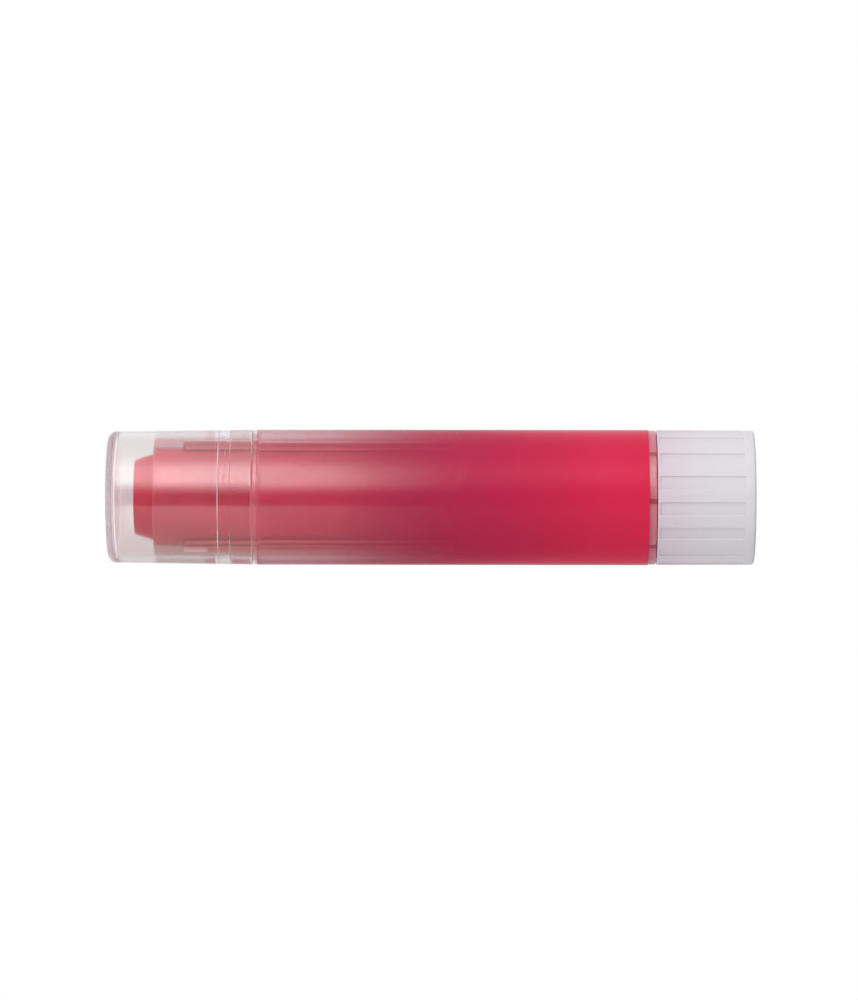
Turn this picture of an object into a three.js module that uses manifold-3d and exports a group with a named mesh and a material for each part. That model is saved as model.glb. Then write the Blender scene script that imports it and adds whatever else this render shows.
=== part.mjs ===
// Twist-up pigment art stick.
// A clear cap snaps over the clear neck of a double-walled barrel. A stick of pigment stands in a
// carrier inside the barrel. Turning the fluted knob turns a threaded spindle, and the carrier,
// kept from turning by three lugs in three keyways, climbs the thread and pushes the pigment out.
// Millimetres, +Z up. The stick stands on its knob, with its axis on Z and the cap on top.

import * as THREE from 'three';
import { mergeVertices } from 'three/addons/utils/BufferGeometryUtils.js';
import Module from 'manifold-3d';

const wasm = await Module();
wasm.setup();

// Fineness of the round stretches
const roundSteps = 48;
const cornerSteps = 3;
const sectorSteps = 4;
const weld = 1e-4;

// How far a cutter, or a solid that is joined on, runs past the face it meets
const overrun = 0.2;

// Barrel, from the bore outwards
const boreRadius = 7.05;
const guideWall = 1.32;
const sleeveGap = 0.57;
const sleeveWall = 0.52;
const sleeveLength = 56.45;
const labelThickness = 0.055;
const labelClearance = 0.01;
const labelTopMargin = 0.5;
const labelBottomMargin = 1.02;
const labelSeam = 0.5;

// Rings of the guide tube that carry the outer sleeve
const ringClearance = 0.04;
const flangeHeight = 0.9;
const collarHeight = 1.5;
const collarInset = 0.1;
const collarSlots = 8;
const collarSlotWidth = 0.7;
const collarTurn = THREE.MathUtils.degToRad(3.4);

// Keyways in the bore, one of them at the back
const keywayCount = 3;
const keywayDepth = 0.8;
const keywayWidth = 1.64;
const keywayTurn = THREE.MathUtils.degToRad(3);
const keywayStopBelowFront = 3.84;

// Neck and cap
const neckLength = 13.92;
const neckWall = 1.25;
const neckTaper = 0.08;
const neckEdge = 0.25;
const boreEdge = 0.15;
const neckBeadHeight = 0.14;
const neckBeadWidth = 0.5;
const neckBeadSlope = 0.3;
const neckBeadAboveFlange = 4.0;
const capClearance = 0.06;
const capRimGap = 0.1;
const capLength = 20.43;
const capProud = 0.04;
const capEndWall = 1.09;
const capOuterTaper = 0.26;
const capInnerTaper = 0.2;
const capEndRound = 1.15;
const capInnerRound = 0.6;
const capRimRound = 0.4;
const capGrooveAllowance = 0.1;
const capMouthEdge = 0.15;

// Knob
const knobHeight = 13.7;
const knobGap = 0.15;
const knobProud = 0.03;
const knobTaper = 0.04;
const knobFloor = 1.2;
const knobBaseRound = 0.4;
const knobRimEdge = 0.15;
const knobMouthDepth = 1.4;
const knobMouthStep = 0.25;
const knobRunningClearance = 0.08;
const fluteCount = 16;
const fluteDepth = 0.3;
const fluteShare = 0.5;
const fluteBottom = 1.5;
const fluteTopMargin = 0.3;
const fluteTurn = THREE.MathUtils.degToRad(1.5);

// Snap fit between the guide tube's tail and the knob
const tailAboveFlange = 0.7;
const tailEdge = 0.2;
const tailBeadHeight = 0.13;
const tailBeadFromEnd = 0.55;
const tailBeadWidth = 0.55;
const tailBeadSlope = 0.4;
const tailBeadClearance = 0.15;

// Spindle, with a left-hand thread, so that a positive turn of the knob lifts the carrier
const threadLead = 5.0;
const threadStarts = 2;
const threadMidRadius = 2.45;
const threadHalfDepth = 0.35;
const threadClearance = 0.25;
const threadSides = 12;
const threadLayersPerTurn = 10;
const nutFineness = 2;
const spindleBelowFront = 7.2;
const spindleTipTaper = 0.25;
const spindleTipLength = 1.0;
const shankRadius = 2.0;
const shankHeight = 2.1;
const spindleFlangeRadius = 4.6;
const spindleFlangeHeight = 1.0;
const footSide = 3.4;
const footClearance = 0.05;
const bossWall = 1.2;
const bossHeight = 3.2;
const seatGap = 0.1;

// Carrier and pigment
const carrierRestGap = 0.3;
const carrierClearance = 0.12;
const carrierFloor = 3.0;
const cupHeight = 10.0;
const cupWall = 0.75;
const lugHeight = 3.0;
const lugTopAboveFoot = 7.38;
const lugClearance = 0.15;
const pigmentClearance = 0.15;
const pigmentCupGap = 0.05;
const pigmentHoleClearance = 0.3;
const pigmentHoleHeadroom = 0.8;
const tipBaseRadius = 6.1;
const tipRadius = 5.2;
const tipProud = 2.83;
const tipShoulderBelowFront = 0.1;

// Radii that follow
const guideRadius = boreRadius + guideWall;
const sleeveInnerRadius = guideRadius + sleeveGap;
const sleeveRadius = sleeveInnerRadius + sleeveWall;
const labelInnerRadius = sleeveRadius + labelClearance;
const labelRadius = labelInnerRadius + labelThickness;
const ringRadius = sleeveInnerRadius - ringClearance;
const keywayRadius = boreRadius + keywayDepth;
const neckRadius = boreRadius + neckWall;
const capMouthRadius = neckRadius + neckBeadHeight + capClearance;
const capRadius = sleeveRadius + capProud;
const knobBoreRadius = guideRadius + knobRunningClearance;
const knobRimRadius = sleeveRadius + knobProud;
const threadCrestRadius = threadMidRadius + threadHalfDepth;
const cupRadius = boreRadius - carrierClearance;
const cupInnerRadius = cupRadius - cupWall;
const bossRadius = footSide / Math.SQRT2 + bossWall;

// Heights that follow, from the knob's base upwards
const sleeveBottom = knobHeight + knobGap;
const sleeveTop = sleeveBottom + sleeveLength;
const labelTop = sleeveTop - labelTopMargin;
const labelBottom = sleeveBottom + labelBottomMargin;
const neckTop = sleeveTop + neckLength;
const keywayTop = neckTop - keywayStopBelowFront;
const capBottom = sleeveTop + capRimGap;
const capTop = capBottom + capLength;
const bossTop = knobFloor + bossHeight;
const spindleFlangeBottom = bossTop + seatGap;
const shankBottom = spindleFlangeBottom + spindleFlangeHeight;
const tailBottom = shankBottom + tailAboveFlange;
const threadBottom = shankBottom + shankHeight;
const threadTop = neckTop - spindleBelowFront;
const carrierBottom = threadBottom + carrierRestGap;
const cupFloorTop = carrierBottom + carrierFloor;
const cupTop = carrierBottom + cupHeight;
const lugTop = carrierBottom + lugTopAboveFoot;
const tipTop = neckTop + tipProud;

// A piece turned on the Z axis. The profile is a closed list of [radius, height] points.
function turned(profile) {
  const points = profile.map(([radius, height]) => new THREE.Vector2(radius, height));
  if (THREE.ShapeUtils.area(points) < 0) {
    points.reverse();
  }
  points.push(points[0].clone());
  const geometry = new THREE.LatheGeometry(points, roundSteps);
  geometry.rotateX(Math.PI / 2);
  return solid(geometry);
}

// Points of a quarter round in a profile, from one angle to another about a centre
function corner(centreRadius, centreHeight, size, fromDegrees, toDegrees) {
  const points = [];
  for (let step = 0; step <= cornerSteps; step += 1) {
    const angle = THREE.MathUtils.degToRad(
      THREE.MathUtils.lerp(fromDegrees, toDegrees, step / cornerSteps));
    points.push([centreRadius + size * Math.cos(angle), centreHeight + size * Math.sin(angle)]);
  }
  return points;
}

// A length of a ring: from one radius to another, half the given angle to each side of a centre
function ringSector(innerRadius, outerRadius, centreAngle, halfAngle, bottom, top) {
  const start = centreAngle - halfAngle;
  const end = centreAngle + halfAngle;
  const shape = new THREE.Shape();
  shape.moveTo(innerRadius * Math.cos(start), innerRadius * Math.sin(start));
  shape.lineTo(outerRadius * Math.cos(start), outerRadius * Math.sin(start));
  shape.absarc(0, 0, outerRadius, start, end, false);
  shape.lineTo(innerRadius * Math.cos(end), innerRadius * Math.sin(end));
  shape.absarc(0, 0, innerRadius, end, start, true);
  const geometry = new THREE.ExtrudeGeometry(shape, {
    depth: top - bottom, bevelEnabled: false, curveSegments: sectorSteps });
  geometry.translate(0, 0, bottom);
  return solid(geometry);
}

// A block centred on the axis, between two heights
function block(sizeX, sizeY, bottom, top) {
  const geometry = new THREE.BoxGeometry(sizeX, sizeY, top - bottom);
  geometry.translate(0, 0, (bottom + top) / 2);
  return solid(geometry);
}

// A threaded rod between two heights: a cylinder whose section has one lobe for each start,
// and is turned with height, so that rods made by this function share one helix.
function threadedRod(bottom, top, extraRadius, fineness, tipLength) {
  const length = top - bottom;
  const layers = Math.ceil((length / threadLead) * threadLayersPerTurn * fineness);
  const geometry = new THREE.CylinderGeometry(1, 1, length, threadSides * fineness, layers);
  geometry.rotateX(Math.PI / 2);
  geometry.translate(0, 0, (bottom + top) / 2);
  const position = geometry.attributes.position;
  for (let vertex = 0; vertex < position.count; vertex += 1) {
    const x = position.getX(vertex);
    const y = position.getY(vertex);
    const z = position.getZ(vertex);
    const angle = Math.atan2(y, x);
    const lobe = threadMidRadius + threadHalfDepth * Math.cos(threadStarts * angle);
    const intoTip = tipLength > 0 ? Math.max(0, (z - top) / tipLength + 1) : 0;
    const radius = Math.hypot(x, y) * (lobe + extraRadius) * (1 - spindleTipTaper * intoTip);
    const twisted = angle - (2 * Math.PI * z) / threadLead;
    position.setXY(vertex, radius * Math.cos(twisted), radius * Math.sin(twisted));
  }
  return solid(geometry);
}

// A closed mesh as a solid that can be cut and joined
function solid(geometry) {
  geometry.deleteAttribute('normal');
  geometry.deleteAttribute('uv');
  const merged = mergeVertices(geometry, weld);
  const corners = merged.index.array;
  const triangles = [];
  for (let start = 0; start < corners.length; start += 3) {
    const [a, b, c] = corners.slice(start, start + 3);
    if (a !== b && b !== c && c !== a) {
      triangles.push(a, b, c);
    }
  }
  return new wasm.Manifold(new wasm.Mesh({
    numProp: 3,
    vertProperties: new Float32Array(merged.attributes.position.array),
    triVerts: new Uint32Array(triangles) }));
}

// A named piece of the scene from its solid
function piece(name, body, material) {
  const mesh = body.getMesh();
  const geometry = new THREE.BufferGeometry();
  geometry.setAttribute('position', new THREE.BufferAttribute(mesh.vertProperties, 3));
  geometry.setIndex(new THREE.BufferAttribute(mesh.triVerts, 1));
  geometry.computeVertexNormals();
  const node = new THREE.Mesh(geometry, material);
  node.name = name;
  return node;
}

const clearPlastic = new THREE.MeshStandardMaterial({
  color: 0xe9dfe2, roughness: 0.08, metalness: 0, transparent: true, opacity: 0.35 });
const labelFilm = new THREE.MeshStandardMaterial({ color: 0xea2c5c, roughness: 0.3, metalness: 0 });
const pigment = new THREE.MeshStandardMaterial({ color: 0xc23a48, roughness: 0.45, metalness: 0 });
const frostedPlastic = new THREE.MeshStandardMaterial({ color: 0xdcd6dc, roughness: 0.4, metalness: 0 });
const whitePlastic = new THREE.MeshStandardMaterial({ color: 0xe8e6e4, roughness: 0.45, metalness: 0 });

// Knob: a fluted cup with a square socket in the middle of its floor
function knobSolid() {
  const mouthRadius = knobBoreRadius + knobMouthStep;
  const mouthBottom = knobHeight - knobMouthDepth;
  const grooveRadius = guideRadius + tailBeadHeight + knobRunningClearance;
  const grooveBottom = tailBottom - tailBeadClearance;
  const grooveTop = tailBottom + tailBeadFromEnd + tailBeadWidth + tailBeadSlope + tailBeadClearance;
  const baseRadius = knobRimRadius - knobTaper;
  const cup = turned([
    [0, 0],
    ...corner(baseRadius - knobBaseRound, knobBaseRound, knobBaseRound, -90, 0),
    [knobRimRadius, knobHeight - knobRimEdge],
    [knobRimRadius - knobRimEdge, knobHeight],
    [mouthRadius, knobHeight],
    [mouthRadius, mouthBottom],
    [knobBoreRadius, mouthBottom - knobMouthStep],
    [knobBoreRadius, grooveTop],
    [grooveRadius, grooveTop - tailBeadSlope],
    [grooveRadius, grooveBottom],
    [knobBoreRadius, grooveBottom],
    [knobBoreRadius, knobFloor],
    [bossRadius, knobFloor],
    [bossRadius, bossTop],
    [0, bossTop],
  ]);
  const flutePitch = (2 * Math.PI) / fluteCount;
  const landAtFront = -Math.PI / 2 + fluteTurn;
  const cuts = [block(footSide + 2 * footClearance, footSide + 2 * footClearance,
    knobFloor, bossTop + overrun)];
  for (let flute = 0; flute < fluteCount; flute += 1) {
    cuts.push(ringSector(
      knobRimRadius - fluteDepth, knobRimRadius + overrun,
      landAtFront + (flute + 0.5) * flutePitch, (flutePitch * fluteShare) / 2,
      fluteBottom, knobHeight - fluteTopMargin));
  }
  return cuts.reduce((body, cut) => body.subtract(cut), cup);
}

// Spindle: a square foot in the knob's socket, a flange on its boss, a shank and the long thread
function spindleSolid() {
  const stem = turned([
    [0, spindleFlangeBottom],
    [spindleFlangeRadius, spindleFlangeBottom],
    [spindleFlangeRadius, shankBottom],
    [shankRadius, shankBottom],
    [shankRadius, threadBottom + overrun],
    [0, threadBottom + overrun],
  ]);
  const foot = block(footSide, footSide, knobFloor + seatGap, spindleFlangeBottom + overrun);
  const thread = threadedRod(threadBottom, threadTop, 0, 1, spindleTipLength);
  return stem.add(foot).add(thread);
}

// Middle angles of the keyways, from +X towards +Y, and of the lugs that run in them
function keywayAngles() {
  const pitch = (2 * Math.PI) / keywayCount;
  return Array.from({ length: keywayCount }, (_, way) => Math.PI / 2 + keywayTurn + way * pitch);
}

// Guide tube: the tail with its snap bead, the slotted collar and the flange that carry the outer
// sleeve, the neck with its snap bead, and the keyways, which end below the neck's front. The
// carrier rises until its lugs meet that end.
function guideTubeSolid() {
  const collarBottom = sleeveBottom + collarInset;
  const collarTop = collarBottom + collarHeight;
  const tailBeadBottom = tailBottom + tailBeadFromEnd;
  const tailBeadTop = tailBeadBottom + tailBeadWidth;
  const neckBeadBottom = sleeveTop + neckBeadAboveFlange;
  const neckBeadTop = neckBeadBottom + neckBeadWidth;
  const neckFrontRadius = neckRadius - neckTaper;
  const tube = turned([
    [boreRadius, tailBottom],
    [guideRadius - tailEdge, tailBottom],
    [guideRadius, tailBottom + tailEdge],
    [guideRadius + tailBeadHeight, tailBeadBottom],
    [guideRadius + tailBeadHeight, tailBeadTop],
    [guideRadius, tailBeadTop + tailBeadSlope],
    [guideRadius, collarBottom],
    [ringRadius, collarBottom],
    [ringRadius, collarTop],
    [guideRadius, collarTop],
    [guideRadius, sleeveTop - flangeHeight],
    [ringRadius, sleeveTop - flangeHeight],
    [ringRadius, sleeveTop],
    [neckRadius, sleeveTop],
    [neckRadius, neckBeadBottom - neckBeadSlope],
    [neckRadius + neckBeadHeight, neckBeadBottom],
    [neckRadius + neckBeadHeight, neckBeadTop],
    [neckRadius, neckBeadTop + neckBeadSlope],
    [neckFrontRadius, neckTop - neckEdge],
    [neckFrontRadius - neckEdge, neckTop],
    [boreRadius + boreEdge, neckTop],
    [boreRadius, neckTop - boreEdge],
  ]);
  const keywayHalfAngle = Math.asin(keywayWidth / 2 / keywayRadius);
  const slotHalfAngle = Math.asin(collarSlotWidth / 2 / ringRadius);
  const cuts = keywayAngles().map((angle) => ringSector(
    boreRadius - overrun, keywayRadius, angle, keywayHalfAngle, tailBottom - overrun, keywayTop));
  for (let slot = 0; slot < collarSlots; slot += 1) {
    const angle = -Math.PI / 2 - collarTurn + (slot * 2 * Math.PI) / collarSlots;
    cuts.push(ringSector(guideRadius, ringRadius + overrun, angle, slotHalfAngle,
      collarBottom - overrun, collarTop + overrun));
  }
  return cuts.reduce((body, cut) => body.subtract(cut), tube);
}

// Outer sleeve: the clear outside wall of the barrel
function outerSleeveSolid() {
  return turned([
    [sleeveInnerRadius, sleeveBottom],
    [sleeveRadius, sleeveBottom],
    [sleeveRadius, sleeveTop],
    [sleeveInnerRadius, sleeveTop],
  ]);
}

// Label: a film wrapped once around the sleeve, with a narrow seam at the back
function labelSolid() {
  const wrap = turned([
    [labelInnerRadius, labelBottom],
    [labelRadius, labelBottom],
    [labelRadius, labelTop],
    [labelInnerRadius, labelTop],
  ]);
  const seam = block(labelSeam, labelRadius, labelBottom - overrun, labelTop + overrun)
    .translate([0, labelRadius, 0]);
  return wrap.subtract(seam);
}

// Cap: a tapered cup with a groove that snaps over the neck's bead
function capSolid() {
  const endRadius = capRadius - capOuterTaper;
  const innerTop = capTop - capEndWall;
  const innerEndRadius = capMouthRadius - capInnerTaper;
  const innerRadiusAt = (height) => THREE.MathUtils.mapLinear(
    height, capBottom, innerTop, capMouthRadius, innerEndRadius);
  const beadBottom = sleeveTop + neckBeadAboveFlange;
  const grooveFoot = beadBottom - neckBeadSlope - capGrooveAllowance;
  const grooveHead = beadBottom + neckBeadWidth + neckBeadSlope + capGrooveAllowance;
  return turned([
    [capMouthRadius + capMouthEdge, capBottom],
    ...corner(capRadius - capRimRound, capBottom + capRimRound, capRimRound, -90, 0),
    ...corner(endRadius - capEndRound, capTop - capEndRound, capEndRound, 0, 90),
    [0, capTop],
    [0, innerTop],
    ...corner(innerEndRadius - capInnerRound, innerTop - capInnerRound, capInnerRound, 90, 0),
    [innerRadiusAt(grooveHead), grooveHead],
    [capMouthRadius + neckBeadHeight / 2, beadBottom + neckBeadWidth],
    [capMouthRadius + neckBeadHeight / 2, beadBottom],
    [innerRadiusAt(grooveFoot), grooveFoot],
    [capMouthRadius, capBottom + capMouthEdge],
  ]);
}

// Carrier: a cup for the foot of the pigment, with the nut in its floor and a lug for each keyway
function carrierSolid() {
  const cup = turned([
    [0, carrierBottom],
    [cupRadius, carrierBottom],
    [cupRadius, cupTop],
    [cupInnerRadius, cupTop],
    [cupInnerRadius, cupFloorTop],
    [0, cupFloorTop],
  ]);
  const keywayHalfAngle = Math.asin(keywayWidth / 2 / keywayRadius);
  const lugHalfAngle = keywayHalfAngle - lugClearance / keywayRadius;
  const lugs = keywayAngles().map((angle) => ringSector(
    cupInnerRadius + cupWall / 2, keywayRadius - lugClearance, angle, lugHalfAngle,
    lugTop - lugHeight, lugTop));
  const nut = threadedRod(carrierBottom - overrun, cupFloorTop + overrun,
    threadClearance, nutFineness, 0);
  return lugs.reduce((body, lug) => body.add(lug), cup).subtract(nut);
}

// Pigment: a stick that fills the carrier's cup and the bore above it, with a truncated cone in
// front of the neck and a blind hole for the spindle
function pigmentStickSolid() {
  const stickRadius = boreRadius - pigmentClearance;
  const holeRadius = threadCrestRadius + pigmentHoleClearance;
  const holeTop = threadTop + pigmentHoleHeadroom;
  const shoulder = neckTop - tipShoulderBelowFront;
  return turned([
    [holeRadius, cupFloorTop + pigmentCupGap],
    [cupInnerRadius - pigmentCupGap, cupFloorTop + pigmentCupGap],
    [cupInnerRadius - pigmentCupGap, cupTop + pigmentCupGap],
    [stickRadius, cupTop + pigmentCupGap],
    [stickRadius, shoulder],
    [tipBaseRadius, shoulder],
    [tipRadius, tipTop],
    [0, tipTop],
    [0, holeTop],
    [holeRadius, holeTop],
  ]);
}

const artStick = new THREE.Group();
artStick.add(piece('knob', knobSolid(), frostedPlastic));
artStick.add(piece('spindle', spindleSolid(), whitePlastic));
artStick.add(piece('guide_tube', guideTubeSolid(), clearPlastic));
artStick.add(piece('outer_sleeve', outerSleeveSolid(), clearPlastic));
artStick.add(piece('label', labelSolid(), labelFilm));
artStick.add(piece('carrier', carrierSolid(), whitePlastic));
artStick.add(piece('pigment_stick', pigmentStickSolid(), pigment));
artStick.add(piece('cap', capSolid(), clearPlastic));

export default artStick;
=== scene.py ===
# %% [markdown]
# # A twist-up pigment art stick
# The real thing is a crayon-thick stick of pigment in a clear double-walled barrel, with a clear
# cap at one end and a fluted twist knob at the other. Most of what we see is clear plastic, so the
# walls are modelled at their true thickness, and the light finds its own way through them.
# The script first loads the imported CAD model. It is the frame: every piece below sits where the CAD
# piece of the same kind sits, and rides on the same moving body.

# %% Load the frame
import math

import bmesh
import bpy
from mathutils import Matrix, Vector


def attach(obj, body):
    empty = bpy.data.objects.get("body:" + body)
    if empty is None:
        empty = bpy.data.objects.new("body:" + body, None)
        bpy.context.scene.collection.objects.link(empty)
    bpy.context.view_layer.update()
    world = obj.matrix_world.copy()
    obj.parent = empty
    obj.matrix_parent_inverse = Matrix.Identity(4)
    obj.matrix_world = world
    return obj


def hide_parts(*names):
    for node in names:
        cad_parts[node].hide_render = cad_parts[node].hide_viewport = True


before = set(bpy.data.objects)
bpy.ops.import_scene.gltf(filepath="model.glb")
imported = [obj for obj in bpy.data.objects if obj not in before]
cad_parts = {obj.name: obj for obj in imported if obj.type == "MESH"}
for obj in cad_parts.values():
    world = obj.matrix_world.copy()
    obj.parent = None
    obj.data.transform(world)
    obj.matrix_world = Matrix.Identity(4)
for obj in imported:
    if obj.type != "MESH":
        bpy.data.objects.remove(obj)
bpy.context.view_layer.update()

# %% [markdown]
# ## Units and the turning helper
# Nearly every piece of the stick is round, as if turned on a lathe. By hand one would add a circle,
# extrude it to the next height, scale it to the next radius, and so on round the profile. The
# helper `turned` does exactly that from a walk of (radius, height) pairs in millimetres. This was
# chosen over a spin because each ring can then be picked again, by its radius and height, to be
# rounded.

# %% Units and helpers for selecting
MM = 0.001
TURN_STEPS = 256
SHARP_ANGLE = math.radians(32)
SAME_PLACE = 0.003


def fresh():
    """Leaves edit mode and deselects everything."""
    if bpy.context.object and bpy.context.object.mode != "OBJECT":
        bpy.ops.object.mode_set(mode="OBJECT")
    bpy.ops.object.select_all(action="DESELECT")


def edit(piece, kind="EDGE"):
    """Goes into edit mode on one piece with nothing selected, and gives its mesh."""
    fresh()
    bpy.context.view_layer.objects.active = piece
    piece.select_set(True)
    bpy.ops.object.mode_set(mode="EDIT")
    bpy.ops.mesh.select_mode(type=kind)
    bpy.ops.mesh.select_all(action="DESELECT")
    return bmesh.from_edit_mesh(piece.data)


def radius_of(point):
    """Distance from the stick's axis, in millimetres."""
    return math.hypot(point.x, point.y) / MM


def pick_ring(mesh, piece, radius, height):
    """Selects the edges of the ring at a radius and a height."""
    for edge in mesh.edges:
        edge.select_set(
            all(
                abs(radius_of(v.co) - radius) < SAME_PLACE
                and abs(v.co.z / MM - height) < SAME_PLACE
                for v in edge.verts
            )
        )
    bmesh.update_edit_mesh(piece.data)


# %% Helpers for turning
def turned(name, walk, steps=TURN_STEPS, turn=0.0, lids=False):
    """Turns a walk of (radius, height). It closes on itself, or its two ends get flat lids."""
    fresh()
    radius, height = walk[0]
    bpy.ops.mesh.primitive_circle_add(
        vertices=steps, radius=radius * MM, location=(0, 0, height * MM), rotation=(0, 0, turn)
    )
    piece = bpy.context.object
    piece.name = name
    bpy.ops.object.transform_apply(location=True, rotation=True, scale=True)
    bpy.ops.object.mode_set(mode="EDIT")
    bpy.ops.mesh.select_all(action="SELECT")
    if lids:
        bpy.ops.mesh.edge_face_add()
        bpy.ops.mesh.select_mode(type="EDGE")
        bpy.ops.mesh.select_all(action="DESELECT")
        pick_ring(bmesh.from_edit_mesh(piece.data), piece, radius, height)
    for next_radius, next_height in walk[1:] + ([] if lids else walk[:1]):
        bpy.ops.mesh.extrude_edges_move(
            TRANSFORM_OT_translate={"value": (0, 0, (next_height - height) * MM)}
        )
        scale = next_radius / radius
        bpy.ops.transform.resize(value=(scale, scale, 1), center_override=(0, 0, next_height * MM))
        radius, height = next_radius, next_height
    if lids:
        bpy.ops.mesh.edge_face_add()
    bpy.ops.mesh.select_all(action="SELECT")
    bpy.ops.mesh.remove_doubles(threshold=SAME_PLACE * MM)
    bpy.ops.mesh.normals_make_consistent(inside=False)
    fresh()
    return piece


def tube(name, inner, outer, low, high):
    """A plain tube: two radii and two heights, in millimetres."""
    return turned(name, [(inner, low), (outer, low), (outer, high), (inner, high)])


def round_rings(piece, rings, segments=4):
    """Bevels rings of a turned piece, each given as (radius, height, size of the round)."""
    for radius, height, size in rings:
        mesh = edit(piece)
        pick_ring(mesh, piece, radius, height)
        bpy.ops.mesh.bevel(offset=size * MM, segments=segments, profile=0.5, affect="EDGES")
    fresh()


# %% Helpers for finishing and cutting
def smooth(piece):
    """Smooth shading with the true corners kept. Long walls keep their own straight normals."""
    fresh()
    bpy.context.view_layer.objects.active = piece
    piece.select_set(True)
    bpy.ops.object.shade_smooth_by_angle(angle=SHARP_ANGLE)
    modifier = piece.modifiers.new("straight walls", "WEIGHTED_NORMAL")
    modifier.mode = "FACE_AREA"
    modifier.weight = 100
    modifier.keep_sharp = True
    bpy.ops.object.modifier_apply(modifier=modifier.name)
    fresh()


def cut(piece, cutters, operation="DIFFERENCE"):
    """Cuts solids out of a piece, or joins them on, and deletes them."""
    for cutter in cutters:
        fresh()
        bpy.context.view_layer.objects.active = piece
        piece.select_set(True)
        modifier = piece.modifiers.new("cut", "BOOLEAN")
        modifier.operation = operation
        modifier.solver = "EXACT"
        modifier.object = cutter
        bpy.ops.object.modifier_apply(modifier=modifier.name)
        bpy.data.objects.remove(cutter, do_unlink=True)


def block(name, low, high):
    """A box between two corners, in millimetres."""
    fresh()
    size = [(b - a) * MM for a, b in zip(low, high)]
    middle = [(a + b) / 2 * MM for a, b in zip(low, high)]
    bpy.ops.mesh.primitive_cube_add(size=1, location=middle, scale=size)
    piece = bpy.context.object
    piece.name = name
    bpy.ops.object.transform_apply(location=True, rotation=True, scale=True)
    return piece


# %% [markdown]
# ## Angles round the stick
# In the photograph the stick lies on its side: its cap points left, and +X points up. The camera
# looks along +Y, so the front of the stick is its -Y side. Angles below are measured from that
# front, positive towards +X, because that is how one reads them off the picture.


# %% From an angle at the front to an angle about the axis
def from_front(degrees):
    """The angle about Z, counted from +X, of a place so many degrees from the front."""
    return math.radians(degrees - 90)


# %% [markdown]
# ## Outer sleeve
# A thin clear tube is the outside wall of the barrel. Its cut ends are flame-polished, so their
# edges are slightly round and catch light as fine bright lines.

# %% Make the outer sleeve
SLEEVE_IN, SLEEVE_OUT = 8.94, 9.46
SLEEVE_LOW, SLEEVE_HIGH = 13.85, 70.30

sleeve = tube("outer_sleeve_clear", SLEEVE_IN, SLEEVE_OUT, SLEEVE_LOW, SLEEVE_HIGH)
round_rings(sleeve, [(SLEEVE_OUT, SLEEVE_LOW, 0.1), (SLEEVE_OUT, SLEEVE_HIGH, 0.1)], segments=3)
smooth(sleeve)
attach(sleeve, "barrel")
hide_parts("outer_sleeve")
print("outer sleeve:", len(sleeve.data.vertices), "points")

# %% [markdown]
# ## Guide tube
# The inner tube does three jobs: its front is the neck that the cap snaps on, a flange and a
# slotted collar hold it in the sleeve, and three keyways in its bore keep the carrier from turning.
# It is turned as one profile, and the keyways and the collar's slots are then cut with blocks, as a
# core pin would form them in the mould.

# %% Turn the guide tube
BORE = 7.10
GUIDE_OUT = 8.37
RING_OUT = 8.90
TAIL_LOW, TAIL_ROUND = 6.20, 0.20
TAIL_BEAD, TAIL_BEAD_LOW, TAIL_BEAD_HIGH, TAIL_BEAD_END = 0.13, 6.75, 7.30, 7.70
COLLAR_LOW, COLLAR_HIGH = 13.95, 15.45
FLANGE_LOW = 69.40
NECK = 8.32
NECK_FRONT = 8.30
NECK_TOP = 84.22
BEAD_LOW, BEAD_HIGH, BEAD_SLOPE, BEAD_OUT = 74.25, 75.00, 0.12, 8.44

guide = turned(
    "guide_tube_clear",
    [
        (BORE, TAIL_LOW),
        (GUIDE_OUT - TAIL_ROUND, TAIL_LOW),
        (GUIDE_OUT, TAIL_LOW + TAIL_ROUND),
        (GUIDE_OUT + TAIL_BEAD, TAIL_BEAD_LOW),
        (GUIDE_OUT + TAIL_BEAD, TAIL_BEAD_HIGH),
        (GUIDE_OUT, TAIL_BEAD_END),
        (GUIDE_OUT, COLLAR_LOW),
        (RING_OUT, COLLAR_LOW),
        (RING_OUT, COLLAR_HIGH),
        (GUIDE_OUT, COLLAR_HIGH),
        (GUIDE_OUT, FLANGE_LOW),
        (RING_OUT, FLANGE_LOW),
        (RING_OUT, SLEEVE_HIGH),
        (NECK, SLEEVE_HIGH),
        (NECK, BEAD_LOW - BEAD_SLOPE),
        (BEAD_OUT, BEAD_LOW),
        (BEAD_OUT, BEAD_HIGH),
        (NECK, BEAD_HIGH + BEAD_SLOPE),
        (NECK_FRONT, NECK_TOP),
        (BORE, NECK_TOP),
    ],
)
round_rings(
    guide,
    [
        (NECK_FRONT, NECK_TOP, 0.30),
        (BORE, NECK_TOP, 0.15),
        (RING_OUT, SLEEVE_HIGH, 0.12),
        (RING_OUT, FLANGE_LOW, 0.08),
        (GUIDE_OUT, FLANGE_LOW, 0.10),
        (BEAD_OUT, BEAD_LOW, 0.03),
        (BEAD_OUT, BEAD_HIGH, 0.03),
    ],
)
print("guide tube: wall", round(GUIDE_OUT - BORE, 2), "mm")

# %% Cut the keyways and the collar's slots
KEYWAY_ANGLES = [183, 63, -57]
KEYWAY_OUT = 7.85
KEYWAY_WIDTH = 1.64
KEYWAY_TOP = 80.02
KEYWAY_CORNER = 0.45
SLOT_COUNT = 8
SLOT_WIDTH = 0.70
COLLAR_TURN = -3.4


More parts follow.
